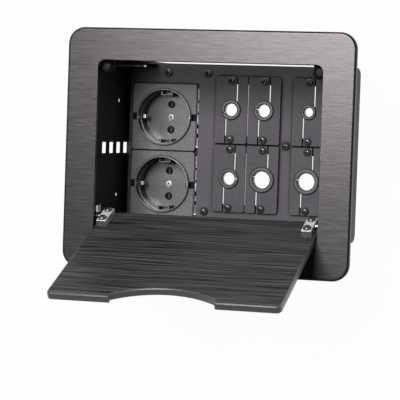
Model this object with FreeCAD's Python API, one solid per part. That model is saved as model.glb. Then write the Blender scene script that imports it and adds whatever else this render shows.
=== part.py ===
import os

import FreeCAD
import Part

# Flush table connection box with a hinged lid, two earthed sockets and six split cable inserts.
# Millimetres. The origin is the middle of the frame plate's underside, which lies on the table top.
# +Z is up out of the table, +X runs along the lid's hinge, and the hinge is on the -Y side.

# Frame plate
OPENING_W = 164.0
OPENING_L = 125.5
RIM = 23.0
FRAME_T = 4.5
FRAME_CORNER_R = 12.0
FRAME_EDGE_R = 1.6
OPENING_R = 5.0
REBATE_GAP = 0.25
REBATE_R = 6.0

# Lid and its hand cut-out
LID_T = 5.5
LID_SIDE_GAP = 0.9
LID_FREE_GAP = 0.75
LID_HINGE_GAP = 2.0
LID_CHAMFER = 0.8
LID_CORNER_EASE = 1.4
HAND_W = 73.0
HAND_STEP = 4.0
HAND_SAG = 11.0
LID_OPEN_DEG = 114.2

# Hinges
PIVOT_IN = 14.2
PIVOT_DROP = 2.65
PIN_R = 1.25
PIN_PLAY = 0.05
PRESS_PLAY = 0.02
PIN_GRIP = 5.0
BRACKET_T = 4.7
BRACKET_W = 7.2
BRACKET_L = 20.0
BRACKET_REAR = 8.4
BRACKET_EDGE_IN = 2.6
BRACKET_EDGE_R = 0.5
BRACKET_SCREW_PITCH = 13.0
HINGE_PLATE_T = 1.6
HINGE_PLATE_L = 20.0
HINGE_PLATE_H = 14.0
HINGE_PLATE_R = 4.2
HINGE_PLATE_GAP = 0.4
HINGE_SCREW_PITCH = 14.4
HINGE_SCREW_DROP = 10.5
STOP_L = 4.6
STOP_W = 1.3
STOP_H = 7.0
STOP_GAP = 0.9
WASHER_R = 2.2
WASHER_T = 0.7

# Housing of folded sheet
SHEET = 1.2
BEND_R = 1.0
SIDE_STEP = 2.0
END_STEP = 0.5
HOUSING_H = 105.5
END_WALL_SHORT = 6.0
FLANGE = 9.0
FLANGE_SCREW_IN_X = 37.0
FLANGE_SCREW_IN_Y = 18.0
FOOT_R = 5.0
TAB_W = 13.0
TAB_TOP = 14.0
RIVET_IN_TOP = 12.0
RIVET_IN_LOW = 18.0
WINDOW_TO_TAB_LEFT = 10.0
WINDOW_TO_TAB_RIGHT = 0.3
WINDOW_TOP = 23.0
WINDOW_H = 70.0
WINDOW_R = 3.0
SLOT_COUNT = 4
SLOT_H = 10.7
SLOT_W = 8.0
SLOT_PITCH = 15.55
SLOT_TOP = 15.6
SPARE_SLOT_W = 2.6
SPARE_SLOT_H = 5.0
SPARE_SLOT_R = 1.2
SPARE_SLOT_Y = 34.8
SPARE_SLOT_TOP = 48.3

# Lid bumpers
BUMPER_R = 5.0
BUMPER_H = 6.0
BUMPER_CROWN_R = 3.3
BUMPER_STEM_R = 2.0
BUMPER_STEM_H = 4.0
BUMPER_IN_X = 4.0
BUMPER_IN_Y = 4.95
BUMPER_GAP = 0.3
BUMPER_TAB = 9.0
BUMPER_TAB_R = 4.0

# Device panel
PANEL_DEPTH = 72.0
PANEL_T = 1.5
PANEL_END_GAP = 0.2
PANEL_TAB_GAP = 0.5
PANEL_SCREW_IN = 6.0
PANEL_FLANGE_H = 14.0
SIDE_SCREW_IN = 24.5
SIDE_SCREW_DROP = 7.7
PANEL_SCREW_OFF = 2.0
PANEL_SCREW_UP = 6.0
CARRIER_T = 1.5
CARRIER_GAP = 0.3
# Shares of the free width: left of the sockets, sockets to inserts, between the columns, right
FREE_SHARES = (0.113, 0.332, 0.198, 0.357)

# Earthed sockets, pins in a column
SOCKET_Y = -1.2
SOCKET_PITCH = 50.0
SOCKET_SIZE = 49.0
SOCKET_CORNER_R = 2.0
SOCKET_GAP = 1.0
SOCKET_SIDE_GAP = 1.8
RING_R = 21.0
RING_RISE = 2.0
RING_EDGE_R = 0.6
RECESS_R = 20.0
RECESS_STEP = 5.0
CUP_R = 19.3
CUP_WALL = 1.4
RECESS_DEPTH = 17.5
CUP_FLOOR = 2.5
PIN_SPACING = 19.0
PIN_HOLE_R = 2.9
KEY_W = 9.0
KEY_IN = 3.2
KEY_SKIN = 0.8
KEY_SLOT_W = 7.0
KEY_SLOT_DEEP = 7.0
POCKET_W = 5.2
POCKET_DEEP = 2.8
POCKET_IN = 0.3
EARTH_W = 2.8
EARTH_STRAP_W = 4.6
EARTH_T = 0.8
EARTH_R = 18.2
EARTH_BELOW_FACE = 6.0
EARTH_NOSE_R = 1.5
EARTH_NOSE_IN = 0.9
EARTH_NOSE_DROP = 8.0
BASE_W = 44.0
BASE_L = 40.0
BASE_H = 15.0
SLEEVE_R = 3.2
SLEEVE_BORE = 2.45
SLEEVE_H = 11.0
SLEEVE_FLOOR = 1.0
SLEEVE_SLIT = 0.8
CENTRE_HEAD_R = 2.6
CENTRE_HEAD_H = 1.4
CENTRE_SHANK_R = 1.5
CENTRE_SHANK_L = 12.0
HEAD_PLAY = 0.2

# Split cable inserts, three columns and two rows
INSERT_W = 25.0
INSERT_L = 50.0
INSERT_T = 2.0
INSERT_GAP = 0.7
INSERT_ROW_GAP = 0.6
INSERT_CORNER_R = 1.5
INSERT_Y = 5.3
SEAM = 1.1
SEAM_OFF = 4.0
INSERT_SCREW_OFF = 21.5
PANEL_WINDOW_MARGIN = 6.1
PANEL_WINDOW_SIDE = 2.0
GROMMET_PLAY = 0.1
GROMMET_LIP = 1.5
GROMMET_EASE = 0.75
GROMMET_SLIT = 0.6
# Each size: outer radius, neck radius in the plate, cable hole radius
GROMMET_SMALL = (5.65, 4.5, 3.3)
GROMMET_MEDIUM = (7.5, 6.2, 4.65)
GROMMET_LARGE = (9.6, 8.0, 6.25)
# The grommets by row and column, and the direction of each one's slit
GROMMET_ROWS = (
    (GROMMET_MEDIUM, GROMMET_MEDIUM, GROMMET_SMALL),
    (GROMMET_MEDIUM, GROMMET_LARGE, GROMMET_LARGE),
)
SLIT_ROWS_DEG = ((200, 170, 60), (0, 160, 170))

# Table clamps on the side walls
CLAMP_OFF = 4.5
CLAMP_Y = 22.0
STUD_R = 2.5
STUD_L = 38.0
STUD_PLAY = 0.06
STUD_COLLAR_R = 3.4
STUD_COLLAR_T = 1.2
JAW_W = 8.0
JAW_L = 14.0
JAW_T = 3.0
JAW_TOOTH = 2.5
JAW_Z = -14.0
JAW_GAP = 0.2
HUB_R = 4.0
NUT_H = 6.0
WING_L = 11.0
WING_T = 2.4
WING_DROP = 3.2
WING_BELOW = 3.0

# Screws
SCREW_R = 1.5
SCREW_HEAD_R = 3.0
SCREW_HEAD_H = 2.4
SCREW_PLAY = 0.05
BLIND = 2.2
# Shares of a screw head: height of its straight rim, width of its flat top
HEAD_RIM = 0.4
HEAD_TOP = 0.6

# How far a cutting tool reaches past the face that it cuts
OVER = 1.0
TOL = 1e-6
HALF_TURN_DEG = 180
QUARTER_TURN_DEG = 90

# Levels and edges that follow from the sizes above
FACE_Z = FRAME_T
REBATE_Z = SHEET
FRAME_W = OPENING_W + 2 * RIM
FRAME_L = OPENING_L + 2 * RIM
WALL_X = OPENING_W / 2 + SIDE_STEP
WALL_Y = OPENING_L / 2 + END_STEP
OUT_X = WALL_X + SHEET
OUT_Y = WALL_Y + SHEET
LID_HALF = OPENING_W / 2 - LID_SIDE_GAP
LID_Y0 = -OPENING_L / 2 + LID_HINGE_GAP
LID_Y1 = OPENING_L / 2 - LID_FREE_GAP
LID_INNER_Z = FACE_Z - LID_T
PIVOT_Y = -OPENING_L / 2 + PIVOT_IN
PIVOT_Z = LID_INNER_Z - PIVOT_DROP
BRACKET_X1 = LID_HALF - BRACKET_EDGE_IN
BRACKET_X0 = BRACKET_X1 - BRACKET_W
BRACKET_Y0 = PIVOT_Y - BRACKET_REAR
HINGE_PLATE_X = WALL_X - HINGE_PLATE_T
PLATE_Z = FACE_Z - PANEL_DEPTH
PANEL_Z1 = PLATE_Z - INSERT_T
PANEL_Z0 = PANEL_Z1 - PANEL_T
PANEL_END_Y = WALL_Y - PANEL_END_GAP
PANEL_Y = PANEL_END_Y - SHEET - BEND_R
PANEL_MID_X = WALL_X - TAB_W - PANEL_TAB_GAP
CARRIER_Z0 = PANEL_Z0 - CARRIER_T
FLOOR_Z = PLATE_Z - RECESS_DEPTH
CUP_Z0 = FLOOR_Z - CUP_FLOOR
CLAMP_X = OUT_X + CLAMP_OFF
FREE_W = 2 * WALL_X - SOCKET_SIZE - 3 * INSERT_W
SOCKET_X = -WALL_X + FREE_SHARES[0] * FREE_W + SOCKET_SIZE / 2
INSERT_X = SOCKET_X + SOCKET_SIZE / 2 + FREE_SHARES[1] * FREE_W + INSERT_W / 2
COLUMN_GAP = FREE_SHARES[2] * FREE_W
X_AXIS = FreeCAD.Vector(1, 0, 0)
Y_AXIS = FreeCAD.Vector(0, 1, 0)
Z_AXIS = FreeCAD.Vector(0, 0, 1)


def vec(x, y, z):
    return FreeCAD.Vector(x, y, z)


def box(x0, x1, y0, y1, z0, z1):
    return Part.makeBox(x1 - x0, y1 - y0, z1 - z0, vec(x0, y0, z0))


def post(radius, x, y, z0, z1):
    return Part.makeCylinder(radius, z1 - z0, vec(x, y, z0), Z_AXIS)


def rod(radius, x0, x1, y, z):
    return Part.makeCylinder(radius, x1 - x0, vec(x0, y, z), X_AXIS)


def edges_along(shape, axis):
    # Straight edges of a solid that run along one axis.
    found = []
    for edge in shape.Edges:
        if edge.Curve.TypeId == "Part::GeomLine":
            if abs(abs(edge.tangentAt(edge.FirstParameter).dot(axis)) - 1) < TOL:
                found.append(edge)
    return found


def edges_at(shape, axis, x=None, y=None, z=None):
    # Those of the edges along one axis that lie at the given coordinates.
    found = []
    for edge in edges_along(shape, axis):
        start = edge.Vertexes[0].Point
        if all(want is None or abs(have - want) < TOL for have, want in zip(start, (x, y, z))):
            found.append(edge)
    return found


def bend(shape, axis, inner, outer, sheet=SHEET):
    # Rounds a folded corner of the sheet: inner and outer say where its two edges lie.
    shape = shape.makeFillet(BEND_R + sheet, edges_at(shape, axis, **outer))
    return shape.makeFillet(BEND_R, edges_at(shape, axis, **inner))


def rounded(shape, axis, radius):
    return shape.makeFillet(radius, edges_along(shape, axis))


def mirror_x(shape):
    return shape.mirror(vec(0, 0, 0), X_AXIS)


def fuse(first, *rest):
    return first.fuse(list(rest)).removeSplitter()


def cut(shape, *tools):
    return shape.cut(list(tools))


def revolve(points, x, y):
    # Closed profile of (radius, height) points turned about the upright line through x, y.
    corners = [vec(r, 0, z) for r, z in points]
    wire = Part.makePolygon(corners + corners[:1])
    solid = Part.Face(wire).revolve(vec(0, 0, 0), Z_AXIS, 360)
    solid.translate(vec(x, y, 0))
    return solid


def pan_screw(length, head_r=SCREW_HEAD_R, head_h=SCREW_HEAD_H, shank_r=SCREW_R):
    # Screw standing on z = 0 with its shank below; the head bears on z = 0 and tapers to its top.
    rim_h = head_h * HEAD_RIM
    rim = post(head_r, 0, 0, 0, rim_h)
    crown = Part.makeCone(head_r, head_r * HEAD_TOP, head_h - rim_h, vec(0, 0, rim_h), Z_AXIS)
    return fuse(post(shank_r, 0, 0, -length, 0), rim, crown)


def placed(shape, x, y, z, axis=X_AXIS, turn=0.0):
    # A copy turned about its own origin, then moved.
    made = shape.copy()
    made.rotate(vec(0, 0, 0), axis, turn)
    made.translate(vec(x, y, z))
    return made


def opened(shape):
    # From the closed position to the open one shown at rest.
    made = shape.copy()
    made.rotate(vec(0, PIVOT_Y, PIVOT_Z), X_AXIS, LID_OPEN_DEG)
    return made


def save(name, shape):
    shape.exportStep("parts/%s.step" % name)


# Places shared by more than one piece
SIGNS = (-1, 1)
FLANGE_MID = FLANGE / 2
FLANGE_SCREW_Y = OPENING_L / 2 - FLANGE_SCREW_IN_Y
FLANGE_SCREW_X = OPENING_W / 2 - FLANGE_SCREW_IN_X
FLANGE_SCREWS = [(sx * (OUT_X + FLANGE_MID), sy * FLANGE_SCREW_Y) for sx in SIGNS for sy in SIGNS]
FLANGE_SCREWS += [(sx * FLANGE_SCREW_X, sy * (OUT_Y + FLANGE_MID)) for sx in SIGNS for sy in SIGNS]
BRACKET_MID_X = (BRACKET_X0 + BRACKET_X1) / 2
BRACKET_SCREW_Y = [BRACKET_Y0 + BRACKET_L / 2 + s * BRACKET_SCREW_PITCH / 2 for s in SIGNS]
HINGE_SCREW_Y = [PIVOT_Y + s * HINGE_SCREW_PITCH / 2 for s in SIGNS]
HINGE_SCREW_Z = -HINGE_PLATE_GAP - HINGE_SCREW_DROP
SIDE_SCREW_Y = [s * (PANEL_Y - SIDE_SCREW_IN) for s in SIGNS]
SIDE_SCREW_Z = PANEL_Z0 - SIDE_SCREW_DROP
RIVET_X = WALL_X - TAB_W / 2
RIVET_Z = [-TAB_TOP - RIVET_IN_TOP, -HOUSING_H + END_WALL_SHORT + RIVET_IN_LOW]
COLUMNS = [INSERT_X, INSERT_X + INSERT_W, INSERT_X + 2 * INSERT_W + COLUMN_GAP]
ROWS = [INSERT_Y - s * (INSERT_L + INSERT_ROW_GAP) / 2 for s in SIGNS]
SOCKET_ROWS = [("upper", SOCKET_Y + SOCKET_PITCH / 2), ("lower", SOCKET_Y - SOCKET_PITCH / 2)]
STRIP_X = (SOCKET_X + SOCKET_SIZE / 2 + SOCKET_SIDE_GAP + COLUMNS[0] - INSERT_W / 2) / 2
RAIL_TOP_Y = PANEL_END_Y - PANEL_SCREW_IN
CARRIER_SCREWS = [
    (SOCKET_X + PANEL_SCREW_OFF, RAIL_TOP_Y),
    (STRIP_X, RAIL_TOP_Y),
    (STRIP_X, SOCKET_Y - SOCKET_PITCH + PANEL_SCREW_UP),
]
PANEL_SCREWS = CARRIER_SCREWS + [(COLUMNS[2] - (INSERT_W + COLUMN_GAP) / 2, INSERT_Y)]


def frame_plate():
    # Its underside has a rebate for the housing's flanges, so that the outer rim lies on the table.
    half_w = FRAME_W / 2
    half_l = FRAME_L / 2
    plate = rounded(box(-half_w, half_w, -half_l, half_l, 0, FRAME_T), Z_AXIS, FRAME_CORNER_R)
    rim = [e for e in plate.Edges if min(v.Z for v in e.Vertexes) > FRAME_T - TOL]
    plate = plate.makeFillet(FRAME_EDGE_R, rim)
    half_w = OPENING_W / 2
    half_l = OPENING_L / 2
    hole = rounded(box(-half_w, half_w, -half_l, half_l, -OVER, FRAME_T + OVER), Z_AXIS, OPENING_R)
    half_w = OUT_X + FLANGE + REBATE_GAP
    half_l = OUT_Y + FLANGE + REBATE_GAP
    rebate = rounded(box(-half_w, half_w, -half_l, half_l, -OVER, REBATE_Z), Z_AXIS, REBATE_R)
    taps = [post(SCREW_R + SCREW_PLAY, x, y, 0, REBATE_Z + BLIND) for x, y in FLANGE_SCREWS]
    return cut(plate, hole, rebate, *taps)


def lid():
    blank = box(-LID_HALF, LID_HALF, LID_Y0, LID_Y1, LID_INNER_Z, FACE_Z)
    plate = rounded(blank, Z_AXIS, OPENING_R - LID_CORNER_EASE)
    half = HAND_W / 2
    step_y = LID_Y1 - HAND_STEP
    past_y = LID_Y1 + OVER
    wire = Part.Wire([
        Part.makeLine(vec(-half, past_y, 0), vec(-half, step_y, 0)),
        Part.Arc(vec(-half, step_y, 0), vec(0, step_y - HAND_SAG, 0), vec(half, step_y, 0)).toShape(),
        Part.makeLine(vec(half, step_y, 0), vec(half, past_y, 0)),
        Part.makeLine(vec(half, past_y, 0), vec(-half, past_y, 0)),
    ])
    hand = Part.Face(wire).extrude(vec(0, 0, LID_T + 2 * OVER))
    hand.translate(vec(0, 0, LID_INNER_Z - OVER))
    plate = cut(plate, hand)
    rims = [e for e in plate.Edges if e.BoundBox.ZLength < TOL]
    plate = plate.makeChamfer(LID_CHAMFER, rims)
    taps = []
    for side in SIGNS:
        for y in BRACKET_SCREW_Y:
            x = side * BRACKET_MID_X
            taps.append(post(SCREW_R + SCREW_PLAY, x, y, LID_INNER_Z - OVER, LID_INNER_Z + BLIND))
    return cut(plate, *taps)


def lid_bracket():
    # Right-hand bracket: a block on the lid, bored from the side so that it turns on the pin.
    z0 = LID_INNER_Z - BRACKET_T
    block = box(BRACKET_X0, BRACKET_X1, BRACKET_Y0, BRACKET_Y0 + BRACKET_L, z0, LID_INNER_Z)
    block = block.makeFillet(BRACKET_EDGE_R, edges_at(block, X_AXIS, z=z0))
    tools = [rod(PIN_R + PIN_PLAY, BRACKET_X0 - OVER, BRACKET_X1 + OVER, PIVOT_Y, PIVOT_Z)]
    for y in BRACKET_SCREW_Y:
        tools.append(post(SCREW_R + SCREW_PLAY, BRACKET_MID_X, y, z0 - OVER, LID_INNER_Z + OVER))
    return cut(block, *tools)


def hinge_plate():
    z1 = -HINGE_PLATE_GAP
    z0 = z1 - HINGE_PLATE_H
    half = HINGE_PLATE_L / 2
    plate = box(HINGE_PLATE_X, WALL_X, PIVOT_Y - half, PIVOT_Y + half, z0, z1)
    plate = plate.makeFillet(HINGE_PLATE_R, edges_at(plate, X_AXIS, z=z0))
    tools = [rod(PIN_R + PRESS_PLAY, HINGE_PLATE_X - OVER, WALL_X + OVER, PIVOT_Y, PIVOT_Z)]
    for y in HINGE_SCREW_Y:
        tools.append(rod(SCREW_R + SCREW_PLAY, HINGE_PLATE_X - OVER, WALL_X + OVER, y, HINGE_SCREW_Z))
    return cut(plate, *tools)


def hinge_pin():
    return rod(PIN_R, BRACKET_X1 - PIN_GRIP, WALL_X, PIVOT_Y, PIVOT_Z)


def hinge_washer():
    x0 = HINGE_PLATE_X - WASHER_T
    disc = rod(WASHER_R, x0, HINGE_PLATE_X, PIVOT_Y, PIVOT_Z)
    return cut(disc, rod(PIN_R + PIN_PLAY, x0 - OVER, HINGE_PLATE_X + OVER, PIVOT_Y, PIVOT_Z))


def hinge_stop():
    y0 = PIVOT_Y + WASHER_R + HINGE_PLATE_GAP
    z1 = LID_INNER_Z - STOP_GAP
    return box(HINGE_PLATE_X - STOP_W, HINGE_PLATE_X, y0, y0 + STOP_L, z1 - STOP_H, z1)


def rivet_hole(x, y, z):
    # Through one sheet whose middle lies at y.
    return Part.makeCylinder(SCREW_R + SCREW_PLAY, 2 * SHEET, vec(x, y - SHEET, z), Y_AXIS)


def end_wall(with_window):
    # Wall on the +Y side, folded outwards at the top into a flange in the frame's rebate.
    z0 = -HOUSING_H + END_WALL_SHORT
    wall = box(-OUT_X, OUT_X, WALL_Y, OUT_Y, z0, REBATE_Z)
    flange = box(-OUT_X, OUT_X, WALL_Y, OUT_Y + FLANGE, REBATE_Z - SHEET, REBATE_Z)
    inner = {"y": OUT_Y, "z": REBATE_Z - SHEET}
    outer = {"y": WALL_Y, "z": REBATE_Z}
    body = bend(fuse(wall, flange), X_AXIS, inner, outer)
    tools = []
    for side in SIGNS:
        x = side * FLANGE_SCREW_X
        y = OUT_Y + FLANGE_MID
        tools.append(post(SCREW_R + SCREW_PLAY, x, y, REBATE_Z - SHEET - OVER, REBATE_Z + OVER))
        for z in RIVET_Z:
            tools.append(rivet_hole(side * RIVET_X, WALL_Y + SHEET / 2, z))
    if with_window:
        z1 = -WINDOW_TOP
        x0 = -WALL_X + TAB_W + WINDOW_TO_TAB_LEFT
        x1 = WALL_X - TAB_W - WINDOW_TO_TAB_RIGHT
        window = box(x0, x1, WALL_Y - OVER, OUT_Y + OVER, z1 - WINDOW_H, z1)
        tools.append(rounded(window, Y_AXIS, WINDOW_R))
    return cut(body, *tools)


def bumper_tab(side):
    # Small shelf folded in from the rear wall that carries one bumper.
    x = side * (OPENING_W / 2 - BUMPER_IN_X)
    y = OPENING_L / 2 - BUMPER_IN_Y
    z1 = LID_INNER_Z - BUMPER_GAP - BUMPER_H
    half = BUMPER_TAB / 2
    shelf = box(x - half, x + half, y - half, OUT_Y, z1 - SHEET, z1)
    shelf = shelf.makeFillet(BUMPER_TAB_R, edges_at(shelf, Z_AXIS, y=y - half))
    return cut(shelf, post(BUMPER_STEM_R + SCREW_PLAY, x, y, z1 - SHEET - OVER, z1 + OVER))


def bumper(side):
    # Rubber foot with a rounded crown and a stem through its shelf.
    x = side * (OPENING_W / 2 - BUMPER_IN_X)
    y = OPENING_L / 2 - BUMPER_IN_Y
    z0 = LID_INNER_Z - BUMPER_GAP - BUMPER_H
    head = post(BUMPER_R, x, y, z0, z0 + BUMPER_H)
    crown = [e for e in head.Edges if e.BoundBox.ZMin > z0 + BUMPER_H - TOL]
    head = head.makeFillet(BUMPER_CROWN_R, crown)
    return fuse(head, post(BUMPER_STEM_R, x, y, z0 - BUMPER_STEM_H, z0))


def side_wall():
    # Wall on the +X side: folded outwards at the top into a flange and inwards at its ends into tabs.
    wall = box(WALL_X, OUT_X, -WALL_Y, WALL_Y, -HOUSING_H, REBATE_Z)
    wall = wall.makeFillet(FOOT_R, edges_at(wall, X_AXIS, z=-HOUSING_H))
    flange = box(WALL_X, OUT_X + FLANGE, -WALL_Y, WALL_Y, REBATE_Z - SHEET, REBATE_Z)
    tab_z0 = -HOUSING_H + END_WALL_SHORT + FOOT_R
    tab_y = WALL_Y - SHEET
    rear_tab = box(WALL_X - TAB_W, OUT_X, tab_y, WALL_Y, tab_z0, -TAB_TOP)
    front_tab = box(WALL_X - TAB_W, OUT_X, -WALL_Y, -tab_y, tab_z0, -TAB_TOP)
    body = fuse(wall, flange, rear_tab, front_tab)
    body = bend(body, Y_AXIS, {"x": OUT_X, "z": REBATE_Z - SHEET}, {"x": WALL_X, "z": REBATE_Z})
    for sy in SIGNS:
        body = body.makeFillet(BEND_R, edges_at(body, Z_AXIS, x=WALL_X, y=sy * tab_y))
    slots = []
    for i in range(SLOT_COUNT):
        z1 = -SLOT_TOP - i * SLOT_PITCH
        slots.append(box(WALL_X - OVER, OUT_X + OVER, -SLOT_W / 2, SLOT_W / 2, z1 - SLOT_H, z1))
    for sy in SIGNS:
        y0 = sy * SPARE_SLOT_Y - SPARE_SLOT_W / 2
        z1 = -SPARE_SLOT_TOP
        spare = box(WALL_X - OVER, OUT_X + OVER, y0, y0 + SPARE_SLOT_W, z1 - SPARE_SLOT_H, z1)
        slots.append(rounded(spare, X_AXIS, SPARE_SLOT_R))
    holes = [(SCREW_R + SCREW_PLAY, y, HINGE_SCREW_Z) for y in HINGE_SCREW_Y]
    holes += [(SCREW_R + SCREW_PLAY, y, SIDE_SCREW_Z) for y in SIDE_SCREW_Y]
    tools = [rod(radius, WALL_X - OVER, OUT_X + OVER, y, z) for radius, y, z in holes]
    uprights = [(SCREW_R + SCREW_PLAY, OUT_X + FLANGE_MID, sy * FLANGE_SCREW_Y) for sy in SIGNS]
    uprights.append((STUD_R + PRESS_PLAY, CLAMP_X, CLAMP_Y))
    for radius, x, y in uprights:
        tools.append(post(radius, x, y, REBATE_Z - SHEET - OVER, REBATE_Z + OVER))
    for sy in SIGNS:
        for z in RIVET_Z:
            tools.append(rivet_hole(RIVET_X, sy * (WALL_Y - SHEET / 2), z))
    return cut(body, *slots, *tools)


def housing_screws():
    solids = []
    for x, y in FLANGE_SCREWS:
        screw = pan_screw(SHEET + BLIND)
        solids.append(placed(screw, x, y, REBATE_Z - SHEET, X_AXIS, HALF_TURN_DEG))
    for side in SIGNS:
        x = side * OUT_X
        turn = side * QUARTER_TURN_DEG
        for y in SIDE_SCREW_Y:
            solids.append(placed(pan_screw(SHEET + PANEL_T), x, y, SIDE_SCREW_Z, Y_AXIS, turn))
        for y in HINGE_SCREW_Y:
            screw = pan_screw(SHEET + HINGE_PLATE_T)
            solids.append(placed(screw, x, y, HINGE_SCREW_Z, Y_AXIS, turn))
        for end in SIGNS:
            for z in RIVET_Z:
                rivet = pan_screw(2 * SHEET)
                turn_in = -end * QUARTER_TURN_DEG
                solids.append(placed(rivet, side * RIVET_X, end * OUT_Y, z, X_AXIS, turn_in))
    return Part.Compound(solids)


def panel():
    # Sheet with both sides folded down, screwed to the side walls through the folds.
    body = box(-WALL_X, WALL_X, -PANEL_Y, PANEL_Y, PANEL_Z0, PANEL_Z1)
    for side in SIGNS:
        fold_x = side * (WALL_X - PANEL_T)
        x0, x1 = sorted((fold_x, side * WALL_X))
        inner = {"x": fold_x, "z": PANEL_Z0}
        outer = {"x": side * WALL_X, "z": PANEL_Z1}
        body = fuse(body, box(x0, x1, -PANEL_Y, PANEL_Y, PANEL_Z0 - PANEL_FLANGE_H, PANEL_Z1))
        body = bend(body, Y_AXIS, inner, outer, PANEL_T)
    # Between the side walls' tabs it reaches to the end walls.
    middle = box(-PANEL_MID_X, PANEL_MID_X, -PANEL_END_Y, PANEL_END_Y, PANEL_Z0, PANEL_Z1)
    body = fuse(body, middle)
    z0 = PANEL_Z0 - OVER
    z1 = PANEL_Z1 + OVER
    x0 = SOCKET_X - SOCKET_SIZE / 2 - SOCKET_GAP
    x1 = SOCKET_X + SOCKET_SIZE / 2 + SOCKET_SIDE_GAP
    half = (SOCKET_PITCH + SOCKET_SIZE) / 2 + SOCKET_GAP
    tools = [box(x0, x1, SOCKET_Y - half, SOCKET_Y + half, z0, z1)]
    half_w = INSERT_W / 2 - PANEL_WINDOW_SIDE
    half_l = INSERT_L / 2 - PANEL_WINDOW_MARGIN
    for y in ROWS:
        for first, last in ((COLUMNS[0], COLUMNS[1]), (COLUMNS[2], COLUMNS[2])):
            tools.append(box(first - half_w, last + half_w, y - half_l, y + half_l, z0, z1))
        for x in COLUMNS:
            for s in SIGNS:
                tools.append(post(SCREW_R + SCREW_PLAY, x, y + s * INSERT_SCREW_OFF, z0, z1))
    for x, y in PANEL_SCREWS:
        tools.append(post(SCREW_R + SCREW_PLAY, x, y, z0, z1))
    for side in SIGNS:
        for y in SIDE_SCREW_Y:
            x = side * (WALL_X - PANEL_T / 2)
            tools.append(rod(SCREW_R + SCREW_PLAY, x - PANEL_T, x + PANEL_T, y, SIDE_SCREW_Z))
    return cut(body, *tools)


def carrier():
    # Stile and three rails under the panel that carry the socket plates' edges.
    x0 = -WALL_X + PANEL_T + BEND_R + CARRIER_GAP
    stile_x1 = SOCKET_X - RING_R - SOCKET_GAP
    end_x = COLUMNS[0] - INSERT_W / 2 - SOCKET_GAP
    top = SOCKET_Y + SOCKET_PITCH
    rail_in = SOCKET_PITCH / 2 - RING_R - SOCKET_GAP
    low = SOCKET_Y - SOCKET_PITCH
    lug_half = end_x - STRIP_X
    lug_y1 = CARRIER_SCREWS[2][1] + lug_half
    spans = [
        (x0, stile_x1, -PANEL_Y, PANEL_Y),
        (x0, end_x, top - rail_in, PANEL_Y),
        (x0, end_x, SOCKET_Y - rail_in, SOCKET_Y + rail_in),
        (x0, end_x, -PANEL_Y, low + rail_in),
        (STRIP_X - lug_half, end_x, low + rail_in, lug_y1),
    ]
    body = fuse(*[box(*span, CARRIER_Z0, PANEL_Z0) for span in spans])
    holes = []
    for x, y in CARRIER_SCREWS:
        holes.append(post(SCREW_R + SCREW_PLAY, x, y, CARRIER_Z0 - OVER, PANEL_Z0 + OVER))
    return cut(body, *holes)


def socket_front(y):
    # Moulded plate with a raised ring and a stepped cup, with a hollow key rib at top and bottom.
    x = SOCKET_X
    half = SOCKET_SIZE / 2
    plate_z0 = PLATE_Z - INSERT_T - PANEL_T
    step_z = PLATE_Z - RECESS_STEP
    past_z = PLATE_Z + RING_RISE + OVER
    plate = rounded(box(x - half, x + half, y - half, y + half, plate_z0, PLATE_Z), Z_AXIS, SOCKET_CORNER_R)
    ring = post(RING_R, x, y, plate_z0, PLATE_Z + RING_RISE)
    crown = [e for e in ring.Edges if abs(e.BoundBox.ZMin - PLATE_Z - RING_RISE) < TOL]
    ring = ring.makeFillet(RING_EDGE_R, crown)
    cup = post(CUP_R + CUP_WALL, x, y, CUP_Z0, PLATE_Z)
    deep = post(CUP_R, x, y, FLOOR_Z, past_z)
    wide = post(RECESS_R, x, y, step_z, past_z)
    body = cut(fuse(plate, ring, cup), deep, wide)
    tools = []
    for s in SIGNS:
        y0, y1 = sorted((y + s * (CUP_R - KEY_IN), y + s * (CUP_R + CUP_WALL / 2)))
        body = fuse(body, box(x - KEY_W / 2, x + KEY_W / 2, y0, y1, CUP_Z0, step_z))
        y0, y1 = sorted((y + s * (CUP_R - KEY_IN + KEY_SKIN), y + s * CUP_R))
        half_slot = KEY_SLOT_W / 2
        slot_z0 = step_z - KEY_SLOT_DEEP
        tools.append(box(x - half_slot, x + half_slot, y0, y1, slot_z0, step_z + OVER))
        x0, x1 = sorted((x + s * (RING_R + POCKET_IN), x + s * (half + OVER)))
        tools.append(box(x0, x1, y - POCKET_W / 2, y + POCKET_W / 2, PLATE_Z - POCKET_DEEP, past_z))
        tools.append(post(PIN_HOLE_R, x, y + s * PIN_SPACING / 2, CUP_Z0 - OVER, FLOOR_Z + OVER))
        arm = x + s * EARTH_R
        slot = EARTH_W / 2 + SCREW_PLAY
        tools.append(box(arm - EARTH_T, arm + EARTH_T, y - slot, y + slot, CUP_Z0 - OVER, FLOOR_Z + OVER))
    tools.append(post(CENTRE_SHANK_R + SCREW_PLAY, x, y, CUP_Z0 - OVER, FLOOR_Z + OVER))
    tools.append(post(CENTRE_HEAD_R + HEAD_PLAY, x, y, FLOOR_Z - CENTRE_HEAD_H / 2, FLOOR_Z + OVER))
    return cut(body, *tools)


def socket_earth(y):
    # One strap under the cup floor with two arms that stand in the recess.
    x = SOCKET_X
    w = EARTH_W / 2
    t = EARTH_T / 2
    z0 = CUP_Z0 - EARTH_T
    strap_w = EARTH_STRAP_W / 2
    body = box(x - EARTH_R - t, x + EARTH_R + t, y - strap_w, y + strap_w, z0, CUP_Z0)
    for s in SIGNS:
        arm = x + s * EARTH_R
        upright = box(arm - t, arm + t, y - w, y + w, z0, PLATE_Z - EARTH_BELOW_FACE)
        start = vec(arm - s * EARTH_NOSE_IN, y - w, PLATE_Z - EARTH_NOSE_DROP)
        body = fuse(body, upright, Part.makeCylinder(EARTH_NOSE_R, EARTH_W, start, Y_AXIS))
    return cut(body, post(CENTRE_SHANK_R + SCREW_PLAY, x, y, z0 - OVER, CUP_Z0 + OVER))


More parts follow.
